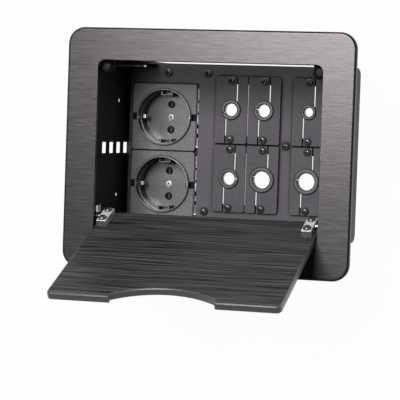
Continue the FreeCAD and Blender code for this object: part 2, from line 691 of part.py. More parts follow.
def socket_base(y):
    x = SOCKET_X
    half_w = BASE_W / 2
    half_l = BASE_L / 2
    block = box(x - half_w, x + half_w, y - half_l, y + half_l, CUP_Z0 - BASE_H, CUP_Z0)
    block = rounded(block, Z_AXIS, SOCKET_CORNER_R)
    strap_x = EARTH_R + EARTH_T
    slot = EARTH_STRAP_W / 2 + SCREW_PLAY
    tools = [box(x - strap_x, x + strap_x, y - slot, y + slot, CUP_Z0 - EARTH_T, CUP_Z0 + OVER)]
    for s in SIGNS:
        pin_y = y + s * PIN_SPACING / 2
        tools.append(post(SLEEVE_R + SCREW_PLAY, x, pin_y, CUP_Z0 - SLEEVE_H, CUP_Z0 + OVER))
    tools.append(post(CENTRE_SHANK_R + SCREW_PLAY, x, y, FLOOR_Z - CENTRE_SHANK_L - OVER, CUP_Z0 + OVER))
    return cut(block, *tools)


def socket_contacts(y):
    # Two split sleeves that grip the plug's pins.
    x = SOCKET_X
    z0 = CUP_Z0 - SLEEVE_H
    slit = SLEEVE_SLIT / 2
    solids = []
    for s in SIGNS:
        pin_y = y + s * PIN_SPACING / 2
        sleeve = post(SLEEVE_R, x, pin_y, z0, CUP_Z0)
        bore = post(SLEEVE_BORE, x, pin_y, z0 + SLEEVE_FLOOR, CUP_Z0 + OVER)
        gap = box(x, x + SLEEVE_R + OVER, pin_y - slit, pin_y + slit, z0 + SLEEVE_FLOOR, CUP_Z0 + OVER)
        solids.append(cut(sleeve, bore, gap))
    return Part.Compound(solids)


def socket_screw(y):
    screw = pan_screw(CENTRE_SHANK_L, CENTRE_HEAD_R, CENTRE_HEAD_H, CENTRE_SHANK_R)
    return placed(screw, SOCKET_X, y, FLOOR_Z - CENTRE_HEAD_H / 2)


def insert_half(x, y, neck_r, side):
    # One of the two plates that close around a grommet; the left one (-1) holds the top screw.
    half_w = (INSERT_W - INSERT_GAP) / 2
    half_l = (INSERT_L - INSERT_GAP) / 2
    blank = box(x - half_w, x + half_w, y - half_l, y + half_l, PANEL_Z1, PLATE_Z)
    plate = rounded(blank, Z_AXIS, INSERT_CORNER_R)
    z0 = PANEL_Z1 - OVER
    z1 = PLATE_Z + OVER
    away = []
    for end in SIGNS:
        seam_x = x + end * SEAM_OFF + side * SEAM / 2
        x0, x1 = sorted((seam_x, x - side * INSERT_W))
        y0, y1 = sorted((y, y + end * INSERT_L))
        away.append(box(x0, x1, y0, y1, z0, z1))
    hole = post(neck_r + GROMMET_PLAY, x, y, z0, z1)
    screw = post(SCREW_R + SCREW_PLAY, x, y - side * INSERT_SCREW_OFF, z0, z1)
    return cut(plate, hole, screw, *away)


def grommet(x, y, sizes, slit_deg):
    outer_r, neck_r, hole_r = sizes
    lip = GROMMET_LIP
    low = PANEL_Z1
    high = PLATE_Z
    ease = GROMMET_EASE
    body = revolve([
        (hole_r, low - lip), (outer_r - ease, low - lip), (outer_r, low - ease), (outer_r, low),
        (neck_r, low), (neck_r, high), (outer_r, high), (outer_r, high + ease),
        (outer_r - ease, high + lip), (hole_r + ease, high + lip), (hole_r, high + ease),
    ], x, y)
    half = GROMMET_SLIT / 2
    slit = box(0, outer_r + OVER, -half, half, low - lip - OVER, high + lip + OVER)
    return cut(body, placed(slit, x, y, 0, Z_AXIS, slit_deg))


def clamp_stud(side):
    # Pressed into the side wall's flange, with a collar against its lower face.
    x = side * CLAMP_X
    seat = REBATE_Z - SHEET
    collar = post(STUD_COLLAR_R, x, CLAMP_Y, seat - STUD_COLLAR_T, seat)
    return fuse(post(STUD_R, x, CLAMP_Y, -STUD_L, REBATE_Z), collar)


def clamp_nut(side):
    # Wing nut on the stud, just under the jaw.
    x = side * CLAMP_X
    y = CLAMP_Y
    z1 = JAW_Z - JAW_T - JAW_GAP
    z0 = z1 - NUT_H
    hub = post(HUB_R, x, y, z0, z1)
    half = WING_T / 2
    wings = box(x - half, x + half, y - WING_L, y + WING_L, z0 - WING_DROP, z1 - WING_BELOW)
    wings = rounded(wings, X_AXIS, WING_T)
    return cut(fuse(hub, wings), post(STUD_R + STUD_PLAY, x, y, z0 - WING_DROP - OVER, z1 + OVER))


def clamp_jaw(side):
    # Parked along the wall; it turns out under the table top.
    x = side * CLAMP_X
    y = CLAMP_Y
    z0 = JAW_Z - JAW_T
    half = JAW_W / 2
    heel = post(half, x, y, z0, JAW_Z)
    arm = box(x - half, x + half, y - JAW_L, y, z0, JAW_Z)
    tooth = box(x - half, x + half, y - JAW_L, y - JAW_L + JAW_T, z0, JAW_Z + JAW_TOOTH)
    return cut(fuse(heel, arm, tooth), post(STUD_R + STUD_PLAY, x, y, z0 - OVER, JAW_Z + OVER))


os.makedirs("parts", exist_ok=True)

# Frame, housing and lid
save("frame_plate", frame_plate())
save("rear_wall", fuse(end_wall(True), bumper_tab(-1), bumper_tab(1)))
save("front_wall", end_wall(False).mirror(vec(0, 0, 0), Y_AXIS))
save("side_wall_left", mirror_x(side_wall()))
save("side_wall_right", side_wall())
save("housing_screws", housing_screws())
save("bumper_left", bumper(-1))
save("bumper_right", bumper(1))
save("lid", opened(lid()))

# Hinges
lid_screws = []
for name, turn in (("left", mirror_x), ("right", Part.Shape.copy)):
    save("hinge_%s_bracket" % name, opened(turn(lid_bracket())))
    save("hinge_%s_plate" % name, turn(hinge_plate()))
    save("hinge_%s_pin" % name, turn(hinge_pin()))
    save("hinge_%s_washer" % name, turn(hinge_washer()))
    save("hinge_%s_stop" % name, turn(hinge_stop()))
    for screw_y in BRACKET_SCREW_Y:
        screw = pan_screw(BRACKET_T + BLIND)
        screw = placed(screw, BRACKET_MID_X, screw_y, LID_INNER_Z - BRACKET_T, X_AXIS, HALF_TURN_DEG)
        lid_screws.append(opened(turn(screw)))
save("lid_screws", Part.Compound(lid_screws))

# Panel with its carrier and screws
save("panel", panel())
save("socket_carrier", carrier())
panel_screws = [placed(pan_screw(PANEL_T + CARRIER_T), x, y, PANEL_Z1) for x, y in PANEL_SCREWS]
save("panel_screws", Part.Compound(panel_screws))

# Sockets
for name, socket_y in SOCKET_ROWS:
    save("socket_%s_front" % name, socket_front(socket_y))
    save("socket_%s_earth" % name, socket_earth(socket_y))
    save("socket_%s_base" % name, socket_base(socket_y))
    save("socket_%s_contacts" % name, socket_contacts(socket_y))
    save("socket_%s_screw" % name, socket_screw(socket_y))

# Cable inserts: rows a and b, columns 1 to 3
insert_screws = []
for row, row_y, grommets, slits in zip("ab", ROWS, GROMMET_ROWS, SLIT_ROWS_DEG):
    for column, centre_x, sizes, slit_deg in zip("123", COLUMNS, grommets, slits):
        name = "insert_" + row + column
        save(name + "_left", insert_half(centre_x, row_y, sizes[1], -1))
        save(name + "_right", insert_half(centre_x, row_y, sizes[1], 1))
        save(name + "_grommet", grommet(centre_x, row_y, sizes, slit_deg))
        for s in SIGNS:
            screw = pan_screw(INSERT_T + PANEL_T)
            insert_screws.append(placed(screw, centre_x, row_y + s * INSERT_SCREW_OFF, PLATE_Z))
save("insert_screws", Part.Compound(insert_screws))

# Table clamps
for name, side in (("left", -1), ("right", 1)):
    save("clamp_%s_stud" % name, clamp_stud(side))
    save("clamp_%s_nut" % name, clamp_nut(side))
    save("clamp_%s_jaw" % name, clamp_jaw(side))
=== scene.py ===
import math

import bmesh
import bpy
from mathutils import Matrix, Vector


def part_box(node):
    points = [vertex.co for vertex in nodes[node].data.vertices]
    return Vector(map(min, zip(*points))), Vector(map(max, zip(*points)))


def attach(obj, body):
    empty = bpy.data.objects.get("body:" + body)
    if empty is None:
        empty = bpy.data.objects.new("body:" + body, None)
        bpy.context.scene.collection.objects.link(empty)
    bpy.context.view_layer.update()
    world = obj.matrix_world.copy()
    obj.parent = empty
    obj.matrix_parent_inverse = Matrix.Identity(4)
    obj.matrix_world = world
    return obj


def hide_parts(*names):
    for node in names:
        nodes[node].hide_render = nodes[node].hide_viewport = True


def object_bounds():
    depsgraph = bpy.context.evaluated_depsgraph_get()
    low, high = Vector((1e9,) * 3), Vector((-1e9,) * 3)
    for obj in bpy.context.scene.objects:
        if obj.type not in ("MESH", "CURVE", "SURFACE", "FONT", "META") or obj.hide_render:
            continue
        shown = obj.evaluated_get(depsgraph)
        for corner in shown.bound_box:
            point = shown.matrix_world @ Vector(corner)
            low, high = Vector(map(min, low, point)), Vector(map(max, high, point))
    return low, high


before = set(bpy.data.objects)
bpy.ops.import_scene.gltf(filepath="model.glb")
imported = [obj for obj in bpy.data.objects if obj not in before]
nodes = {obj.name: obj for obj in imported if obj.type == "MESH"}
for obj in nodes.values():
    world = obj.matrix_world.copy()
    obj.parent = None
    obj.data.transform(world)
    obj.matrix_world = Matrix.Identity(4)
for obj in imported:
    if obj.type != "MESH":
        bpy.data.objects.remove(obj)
cad_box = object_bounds()


# Frame plate. A thick aluminium plate with a milled opening, brushed along its length and anodised
# near-black, with painted shade on its outer edge faces. It lies on the table and carries everything
# else.

def make_group(name, inputs, outputs):
    group = bpy.data.node_groups.new(name, "ShaderNodeTree")
    for label, value in inputs.items():
        socket = group.interface.new_socket(label, in_out="INPUT", socket_type="NodeSocketFloat")
        socket.default_value = value
    for label, kind in outputs.items():
        group.interface.new_socket(label, in_out="OUTPUT", socket_type=kind)
    start = group.nodes.new("NodeGroupInput")
    end = group.nodes.new("NodeGroupOutput")
    return group, start.outputs, end.inputs


def feed(tree, socket, value):
    # Links another socket to this one, or sets it to a plain value.
    if isinstance(value, bpy.types.NodeSocket):
        tree.links.new(value, socket)
    else:
        socket.default_value = value


def put(tree, kind, settings=None, **inputs):
    # One shader node: settings are its properties, inputs its sockets (a value or another socket).
    node = tree.nodes.new(kind)
    for key, value in (settings or {}).items():
        setattr(node, key, value)
    for key, value in inputs.items():
        feed(tree, node.inputs[key.replace("_", " ")], value)
    return node


def math_node(tree, operation, first, second):
    node = put(tree, "ShaderNodeMath", {"operation": operation})
    for socket, value in zip(node.inputs, (first, second)):
        feed(tree, socket, value)
    return node.outputs[0]


# The sockets of a colour Mix node: its two colours and its result.
MIX_FIRST = 6
MIX_SECOND = 7
MIX_RESULT = 2


def mix_colours(tree, factor, first, second, blend="MIX"):
    node = put(tree, "ShaderNodeMix", {"data_type": "RGBA", "blend_type": blend}, Factor=factor)
    feed(tree, node.inputs[MIX_FIRST], first)
    feed(tree, node.inputs[MIX_SECOND], second)
    return node.outputs[MIX_RESULT]


MM_PER_M = 1000.0
GRAIN_DETAIL = 4.0
STREAK_STRETCH = 1.8
BEVEL_SAMPLES = 12


def brushed_grain():
    # Long fine scratches along X: Grain is 0 to 1, Streak the broader bands between them.
    group, given, result = make_group(
        "brushed grain",
        {"Length mm": 30.0, "Width mm": 0.5, "Band mm": 2.5, "Low": 0.3, "High": 0.7},
        {"Grain": "NodeSocketFloat", "Streak": "NodeSocketFloat"},
    )
    place = put(group, "ShaderNodeTexCoord").outputs["Object"]
    for label, width, share in (("Grain", "Width mm", 1.0), ("Streak", "Band mm", STREAK_STRETCH)):
        long_mm = math_node(group, "MULTIPLY", given["Length mm"], share)
        along = math_node(group, "DIVIDE", MM_PER_M, long_mm)
        across = math_node(group, "DIVIDE", MM_PER_M, given[width])
        scale = group.nodes.new("ShaderNodeCombineXYZ")
        for socket, value in zip(scale.inputs, (along, across, across)):
            group.links.new(value, socket)
        stretched = put(group, "ShaderNodeVectorMath", {"operation": "MULTIPLY"})
        group.links.new(place, stretched.inputs[0])
        group.links.new(scale.outputs[0], stretched.inputs[1])
        noise = put(
            group, "ShaderNodeTexNoise",
            Vector=stretched.outputs[0], Scale=1.0, Detail=GRAIN_DETAIL,
        )
        spread = put(
            group, "ShaderNodeMapRange",
            Value=noise.outputs[0], From_Min=given["Low"], From_Max=given["High"],
        )
        group.links.new(spread.outputs[0], result[label])
    return group


def eased_edge():
    # Rounds the look of a sharp edge over a small radius.
    group, given, result = make_group("eased edge", {"Radius mm": 0.3}, {"Normal": "NodeSocketVector"})
    metres = math_node(group, "DIVIDE", given["Radius mm"], MM_PER_M)
    bevel = put(group, "ShaderNodeBevel", {"samples": BEVEL_SAMPLES}, Radius=metres)
    group.links.new(bevel.outputs[0], result["Normal"])
    return group


BRUSHED = brushed_grain()
EASED = eased_edge()


def finish(name, pattern, values, dark, light, gloss, relief_mm, ease_mm, fine_share=0.55, **fixed):
    # A material whose colour, roughness and relief follow the first two outputs of a pattern group.
    # The share says how much of the colour the first one gives; fixed sets further shader inputs.
    material = bpy.data.materials.new(name)
    material.use_nodes = True
    tree = material.node_tree
    shader = tree.nodes["Principled BSDF"]
    for key, value in fixed.items():
        shader.inputs[key.replace("_", " ")].default_value = value
    grain = put(tree, "ShaderNodeGroup", {"node_tree": pattern})
    for key, value in values.items():
        grain.inputs[key].default_value = value
    fine, broad = grain.outputs[0], grain.outputs[1]
    part_fine = math_node(tree, "MULTIPLY", fine, fine_share)
    part_broad = math_node(tree, "MULTIPLY", broad, 1.0 - fine_share)
    both = math_node(tree, "ADD", part_fine, part_broad)
    tint = mix_colours(tree, both, (*dark, 1.0), (*light, 1.0))
    tree.links.new(tint, shader.inputs["Base Color"])
    rough = put(tree, "ShaderNodeMapRange", Value=both, To_Min=gloss[0], To_Max=gloss[1])
    tree.links.new(rough.outputs[0], shader.inputs["Roughness"])
    edge = put(tree, "ShaderNodeGroup", {"node_tree": EASED})
    edge.inputs["Radius mm"].default_value = ease_mm
    bump = put(tree, "ShaderNodeBump", Height=fine, Distance=relief_mm / MM_PER_M, Normal=edge.outputs[0])
    bump.inputs["Strength"].default_value = 1.0
    tree.links.new(bump.outputs[0], shader.inputs["Normal"])
    return material


def dress(material, *names):
    for name in names:
        mesh = nodes[name].data
        mesh.materials.clear()
        mesh.materials.append(material)


def paint_faces(name, material, chosen):
    # A further material for those faces of a node that pass a test.
    mesh = nodes[name].data
    mesh.materials.append(material)
    for face in mesh.polygons:
        if chosen(face):
            face.material_index = len(mesh.materials) - 1


frame_black = finish(
    "brushed_anodised_frame", BRUSHED, {"Length mm": 14.0, "Width mm": 0.35, "Band mm": 0.8},
    dark=(0.034, 0.031, 0.033), light=(0.094, 0.087, 0.093), gloss=(0.24, 0.30),
    relief_mm=0.0015, ease_mm=0.5, fine_share=0.7, Metallic=0.65,
)
# Painted shade: a near-black coat for the frame's outer edge faces.
frame_edge = finish(
    "frame_edge_painted_shade", BRUSHED, {"Length mm": 10.0, "Width mm": 0.3, "Band mm": 1.2},
    dark=(0.006, 0.0056, 0.006), light=(0.013, 0.0123, 0.013), gloss=(0.30, 0.38),
    relief_mm=0.0005, ease_mm=0.3, fine_share=0.6, Specular_IOR_Level=0.2,
)
dress(frame_black, "frame_plate")

FLAT_Z = 0.85


def on_outer_edge(face):
    outward = face.normal.xy.dot(face.center.xy) > 0
    return outward and abs(face.normal.z) < FLAT_Z


# Painted shade on the frame's outer edge faces.
paint_faces("frame_plate", frame_edge, on_outer_edge)


# Housing. Four walls of folded steel sheet, powder-coated satin black all over, with flanges in the
# frame's rebate, cable slots, a long window at the rear and rivets at the folded corners.

SPECKLE_DETAIL = 1.5
SPECKLE_LOW = 0.3
SPECKLE_HIGH = 0.7


def speckle():
    # Powder coat or moulded grain: Grain is fine orange peel, Cloud a faint wide variation.
    group, given, result = make_group(
        "speckle",
        {"Grain mm": 0.5, "Cloud mm": 25.0},
        {"Grain": "NodeSocketFloat", "Cloud": "NodeSocketFloat"},
    )
    place = put(group, "ShaderNodeTexCoord").outputs["Object"]
    for label, size in (("Grain", "Grain mm"), ("Cloud", "Cloud mm")):
        scale = math_node(group, "DIVIDE", MM_PER_M, given[size])
        noise = put(group, "ShaderNodeTexNoise", Vector=place, Scale=scale, Detail=SPECKLE_DETAIL)
        spread = put(
            group, "ShaderNodeMapRange",
            Value=noise.outputs[0], From_Min=SPECKLE_LOW, From_Max=SPECKLE_HIGH,
        )
        group.links.new(spread.outputs[0], result[label])
    return group


SPECKLE = speckle()
housing_black = finish(
    "powder_coat_black", SPECKLE, {"Grain mm": 0.45, "Cloud mm": 30.0},
    dark=(0.0040, 0.0040, 0.0043), light=(0.0065, 0.0065, 0.0070), gloss=(0.42, 0.52),
    relief_mm=0.012, ease_mm=0.3, Specular_IOR_Level=0.2,
)
dress(housing_black, "rear_wall", "front_wall", "side_wall_left", "side_wall_right")


# Bumpers. Soft black rubber feet with a domed crown, pushed through shelves in the rear corners,
# which take the lid's weight when it is closed.

bumper_rubber = finish(
    "bumper_rubber", SPECKLE, {"Grain mm": 0.3, "Cloud mm": 6.0},
    dark=(0.006, 0.006, 0.006), light=(0.011, 0.011, 0.011), gloss=(0.36, 0.46),
    relief_mm=0.010, ease_mm=0.3, Specular_IOR_Level=0.12,
)
dress(bumper_rubber, "bumper_left", "bumper_right")


# Lid. A plate of the frame's own brushed stock, anodised like it outside and streaked more strongly
# inside, with milled, chamfered edges painted lighter as a painted highlight, and a curved hand
# cut-out at the free edge.

lid_black = finish(
    "brushed_anodised_lid", BRUSHED,
    {"Length mm": 50.0, "Width mm": 0.6, "Band mm": 1.1, "Low": 0.42, "High": 0.68},
    dark=(0.002, 0.0019, 0.0019), light=(0.168, 0.158, 0.162), gloss=(0.40, 0.50),
    relief_mm=0.006, ease_mm=0.3, fine_share=0.8, Metallic=0.1, Specular_IOR_Level=0.15,
)
# Painted highlight: a lighter, glossier coat for the lid's edge and chamfer faces.
lid_edge = finish(
    "lid_edge_painted_highlight", BRUSHED, {"Length mm": 10.0, "Width mm": 0.3, "Band mm": 1.2},
    dark=(0.105, 0.099, 0.104), light=(0.140, 0.132, 0.139), gloss=(0.30, 0.36),
    relief_mm=0.0005, ease_mm=0.8, fine_share=0.6, Metallic=0.3,
)
dress(lid_black, "lid")

LID_OPEN = math.radians(114.2)
LID_FACING = 0.95
lid_inside = Vector((0, math.sin(LID_OPEN), -math.cos(LID_OPEN)))
lid_forward = Vector((0, math.cos(LID_OPEN), math.sin(LID_OPEN)))


def on_lid_edge(face):
    return abs(face.normal.dot(lid_inside)) < LID_FACING


def on_lid_outside(face):
    return face.normal.dot(lid_inside) < -LID_FACING


paint_faces("lid", lid_edge, on_lid_edge)
paint_faces("lid", frame_black, on_lid_outside)


# Hinges. Bright zinc brackets screwed under the lid turn on steel pins pressed into black wall
# plates, with a dull red friction washer on each pin and a small bright stop block beside it. The
# brackets' forward end faces are painted dark grey, as painted shade.

zinc_bright = finish(
    "zinc_plate", SPECKLE, {"Grain mm": 0.9, "Cloud mm": 5.0},
    dark=(0.78, 0.77, 0.76), light=(0.94, 0.93, 0.92), gloss=(0.34, 0.48),
    relief_mm=0.006, ease_mm=0.25, Metallic=0.25,
)
steel_bright = finish(
    "bright_steel", BRUSHED, {"Length mm": 4.0, "Width mm": 0.2, "Band mm": 0.8},
    dark=(0.60, 0.60, 0.60), light=(0.78, 0.78, 0.77), gloss=(0.20, 0.32),
    relief_mm=0.003, ease_mm=0.2, Metallic=1.0,
)
washer_red = finish(
    "washer_red", SPECKLE, {"Grain mm": 0.3, "Cloud mm": 2.0},
    dark=(0.13, 0.030, 0.034), light=(0.22, 0.055, 0.060), gloss=(0.40, 0.55),
    relief_mm=0.004, ease_mm=0.15,
)
# Painted shade: a dark grey copy of the zinc for the brackets' forward end faces.
zinc_painted_shade = finish(
    "zinc_end_painted_shade", BRUSHED, {"Length mm": 5.0, "Width mm": 0.3, "Band mm": 0.9},
    dark=(0.07, 0.068, 0.07), light=(0.19, 0.185, 0.19), gloss=(0.45, 0.60),
    relief_mm=0.010, ease_mm=0.25, Metallic=0.25,
)


END_FACING = 0.9
SIDES = ("left", "right")


def on_shaded_end(face):
    return face.normal.dot(lid_forward) > END_FACING


for side in SIDES:
    dress(zinc_bright, "hinge_%s_bracket" % side, "hinge_%s_stop" % side)
    dress(housing_black, "hinge_%s_plate" % side)
    dress(steel_bright, "hinge_%s_pin" % side)
    dress(washer_red, "hinge_%s_washer" % side)
    # Painted shade on the bracket's forward end faces.
    paint_faces("hinge_%s_bracket" % side, zinc_painted_shade, on_shaded_end)


# Panel and carrier. Steel sheet in a satin dark grey coat, folded down at the sides and screwed to
# the walls. The carrier under it holds the sockets' edges; its near-black coat is painted shade for the
# joints where it shows.

panel_grey = finish(
    "panel_coat_grey", SPECKLE, {"Grain mm": 0.8, "Cloud mm": 35.0},
    dark=(0.098, 0.090, 0.101), light=(0.166, 0.154, 0.170), gloss=(0.50, 0.60),
    relief_mm=0.010, ease_mm=0.3, fine_share=0.7, Specular_IOR_Level=0.05,
)
# Painted shade: a near-black coat for the carrier, seen only down the joints.
carrier_shade_black = finish(
    "carrier_coat_painted_shade", SPECKLE, {"Grain mm": 0.5, "Cloud mm": 20.0},
    dark=(0.012, 0.012, 0.012), light=(0.022, 0.022, 0.022), gloss=(0.45, 0.55),
    relief_mm=0.010, ease_mm=0.3, Specular_IOR_Level=0.2,
)
dress(panel_grey, "panel")
dress(carrier_shade_black, "socket_carrier")

CORNER_SAMPLES = 8
CORNER_SHUT = 0.55
CORNER_OPEN = 0.88
CORNER_DARK = 0.05


def shade_corners(material, reach_mm):
    # Painted shade: darkens a coat's colour close to where another piece stands on it, standing in for
    # the shade in the narrow gaps there.
    tree = material.node_tree
    shader = tree.nodes["Principled BSDF"]
    coat = shader.inputs["Base Color"].links[0].from_socket
    near = put(
        tree, "ShaderNodeAmbientOcclusion", {"samples": CORNER_SAMPLES}, Distance=reach_mm / MM_PER_M,
    )
    kept = put(
        tree, "ShaderNodeMapRange",
        Value=near.outputs["AO"], From_Min=CORNER_SHUT, From_Max=CORNER_OPEN, To_Min=CORNER_DARK,
    )
    tint = mix_colours(tree, 1.0, coat, kept.outputs[0], "MULTIPLY")
    tree.links.new(tint, shader.inputs["Base Color"])


# Painted shade on the panel's coat next to the walls and the pieces that stand on it.
shade_corners(panel_grey, reach_mm=5.0)


# Sockets. Dark grey mouldings with a glossy ring, a cup with a polished floor and sprung shutters, and
# black bases behind. The moulding is darkened in its corners, and the cup's walls and the pockets beside
# the ring are painted near-black, as painted shade; the cup's floor is painted lighter than the
# moulding, as painted light, and the near-black shutters stand also for the shade in the pin holes.
# Nickelled earth springs and brass sleeves are pressed in, and a worn zinc strip lies under each right
# edge.

socket_plastic = finish(
    "socket_moulding", SPECKLE, {"Grain mm": 0.8, "Cloud mm": 18.0},
    dark=(0.105, 0.098, 0.107), light=(0.215, 0.202, 0.219), gloss=(0.34, 0.44),
    relief_mm=0.008, ease_mm=0.35, fine_share=0.8, Specular_IOR_Level=0.3,
)
# Painted shade in the moulding's corners and round the ring.
shade_corners(socket_plastic, reach_mm=2.0)
ring_plastic = finish(
    "ring_moulding", SPECKLE, {"Grain mm": 0.35, "Cloud mm": 12.0},
    dark=(0.130, 0.122, 0.133), light=(0.200, 0.188, 0.204), gloss=(0.18, 0.26),
    relief_mm=0.003, ease_mm=0.35, Specular_IOR_Level=0.6,
)
# Painted light: a lighter, glossier copy of the moulding for the polished cup floor.
cup_floor_light = finish(
    "cup_floor_painted_light", SPECKLE, {"Grain mm": 0.35, "Cloud mm": 12.0},
    dark=(0.150, 0.141, 0.153), light=(0.245, 0.231, 0.249), gloss=(0.13, 0.20),
    relief_mm=0.003, ease_mm=0.35,
)
# Painted shade: a near-black copy of the moulding for the cup's walls.
cup_wall_shade = finish(
    "cup_wall_painted_shade", SPECKLE, {"Grain mm": 0.35, "Cloud mm": 12.0},
    dark=(0.007, 0.007, 0.008), light=(0.013, 0.013, 0.014), gloss=(0.10, 0.16),
    relief_mm=0.003, ease_mm=0.35, Specular_IOR_Level=0.2,
)
base_plastic = finish(
    "base_moulding", SPECKLE, {"Grain mm": 0.4, "Cloud mm": 15.0},
    dark=(0.018, 0.018, 0.019), light=(0.028, 0.028, 0.029), gloss=(0.42, 0.55),
    relief_mm=0.010, ease_mm=0.35,
)
# Near-black shutter plastic, also used as painted shade in the pin holes and the pockets.
shutter_and_shade_black = finish(
    "shutter_moulding_and_painted_shade", SPECKLE, {"Grain mm": 0.3, "Cloud mm": 6.0},
    dark=(0.0035, 0.0035, 0.0038), light=(0.0060, 0.0060, 0.0065), gloss=(0.40, 0.52),
    relief_mm=0.006, ease_mm=0.2, Specular_IOR_Level=0.08,
)
earth_nickel = finish(
    "earth_nickel", BRUSHED, {"Length mm": 6.0, "Width mm": 0.25, "Band mm": 1.0},
    dark=(0.58, 0.55, 0.50), light=(0.76, 0.73, 0.67), gloss=(0.22, 0.34),
    relief_mm=0.003, ease_mm=0.2, Metallic=1.0,
)
sleeve_brass = finish(
    "sleeve_brass", BRUSHED, {"Length mm": 5.0, "Width mm": 0.25, "Band mm": 1.0},
    dark=(0.55, 0.38, 0.14), light=(0.74, 0.55, 0.24), gloss=(0.24, 0.38),
    relief_mm=0.003, ease_mm=0.2, Metallic=1.0,
)
ROWS = ("upper", "lower")
for row in ROWS:
    dress(socket_plastic, "socket_%s_front" % row)
    dress(base_plastic, "socket_%s_base" % row)
    dress(earth_nickel, "socket_%s_earth" % row)
    dress(sleeve_brass, "socket_%s_contacts" % row)

PIN_SPACING = 0.0190
SHUTTER_R = 0.00288
SHUTTER_T = 0.0008
SHUTTER_UP = 0.0008
SHUTTER_STEPS = 32
SHUTTER_RIB = (0.0010, 0.0038, 0.0006)


def make_piece(name, bm, *finishes):
    # A new object from a finished bmesh, with its materials in the order of their face numbers.
    mesh = bpy.data.meshes.new(name)
    bm.to_mesh(mesh)
    bm.free()
    for material in finishes:
        mesh.materials.append(material)
    piece = bpy.data.objects.new(name, mesh)
    bpy.context.scene.collection.objects.link(piece)
    return piece


def pin_shutters(name, middle, low_z):
    # Two sprung covers in the cup's pin holes, each with a raised rib; their near-black coat also stands
    # for the shade in the holes.
    bm = bmesh.new()
    for side in (-1, 1):
        spot = Matrix.Translation((middle.x, middle.y + side * PIN_SPACING / 2, low_z + SHUTTER_UP))
        bmesh.ops.create_cone(
            bm, cap_ends=True, segments=SHUTTER_STEPS,
            radius1=SHUTTER_R, radius2=SHUTTER_R, depth=SHUTTER_T, matrix=spot,
        )
        rib = Matrix.Translation((0, 0, SHUTTER_T / 2)) @ Matrix.Diagonal((*SHUTTER_RIB, 1.0))
        made = bmesh.ops.create_cube(bm, size=1.0, matrix=spot @ rib)["verts"]
        for face in {face for vert in made for face in vert.link_faces}:
            face.material_index = 1
    covers = make_piece(name, bm, shutter_and_shade_black, base_plastic)
    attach(covers, "box")


zinc_worn = finish(
    "zinc_worn_strip", SPECKLE, {"Grain mm": 1.4, "Cloud mm": 6.0},
    dark=(0.10, 0.10, 0.10), light=(0.62, 0.61, 0.62), gloss=(0.34, 0.48),
    relief_mm=0.006, ease_mm=0.25, fine_share=0.8, Metallic=0.25,
)
STRIP_T = 0.0008
STRIP_OUT = 0.0012
STRIP_IN = 0.0012
STRIP_EASE = STRIP_T / 5
STRIP_EASE_STEPS = 2
STRIP_PARTS = ((0.05, 0.24), (0.27, 0.42), (0.45, 0.60), (0.66, 0.74), (0.80, 0.93))
FRONT_T = 0.0035


def edge_strip(name, high, low, face_z):
    # A pierced zinc strip pressed under the front's right edge, seen down the gap beside the panel.
    bm = bmesh.new()
    length = high.y - low.y
    for start, end in STRIP_PARTS:
        size = Matrix.Diagonal((STRIP_IN + STRIP_OUT, (end - start) * length, STRIP_T, 1.0))
        spot = Matrix.Translation((
            high.x + (STRIP_OUT - STRIP_IN) / 2,
            high.y - (start + end) / 2 * length,
            face_z - FRONT_T - STRIP_T / 2,
        ))
        made = bmesh.ops.create_cube(bm, size=1.0, matrix=spot @ size)["verts"]
        edges = list(dict.fromkeys(edge for vert in made for edge in vert.link_edges))
        bmesh.ops.bevel(
            bm, geom=edges, offset=STRIP_EASE, segments=STRIP_EASE_STEPS, affect="EDGES",
        )
    strip = make_piece(name, bm, zinc_worn)
    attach(strip, "box")


RING_R = 0.0210
RING_RISE = 0.0020
RING_SPARE = 0.0008
CUP_R = 0.0201
FLOOR_FACING = 0.7
POCKET_HALF = 0.0027
POCKET_DEEP = 0.0029
POCKET_SPARE = 0.0004


def dress_socket(row):
    # The front's finishes face by face, then its shutters and its strip.
    low, high = (Vector(corner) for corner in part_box("socket_%s_front" % row))
    middle = (low + high) / 2
    face_z = high.z - RING_RISE

    def in_shaded_pocket(face):
        spot = face.center
        beside = abs(spot.x - middle.x) > RING_R and abs(spot.y - middle.y) < POCKET_HALF
        return beside and face_z - POCKET_DEEP < spot.z < face_z - POCKET_SPARE

    def in_cup(face):
        inside = (face.center.xy - middle.xy).length < CUP_R
        return inside and low.z < face.center.z < face_z + RING_RISE / 2

    def on_ring(face):
        reach = (face.center.xy - middle.xy).length
        return CUP_R < reach < RING_R + RING_SPARE and face.center.z > face_z

    def on_floor(face):
        return in_cup(face) and face.normal.z > FLOOR_FACING

    paint_faces("socket_%s_front" % row, ring_plastic, on_ring)
    # Painted shade on the cup's walls.
    paint_faces("socket_%s_front" % row, cup_wall_shade, in_cup)
    # Painted light on the cup's floor.
    paint_faces("socket_%s_front" % row, cup_floor_light, on_floor)
    # Painted shade: the pockets beside the ring take the near-black shutter coat.
    paint_faces("socket_%s_front" % row, shutter_and_shade_black, in_shaded_pocket)
    pin_shutters("socket_%s_shutters" % row, middle, low.z)
    edge_strip("socket_%s_strip" % row, high, low, face_z)


for row in ROWS:
    dress_socket(row)


# Cable inserts. Pairs of painted steel plates, stepped where they meet, that close around a split
# rubber grommet. One screw holds each half.

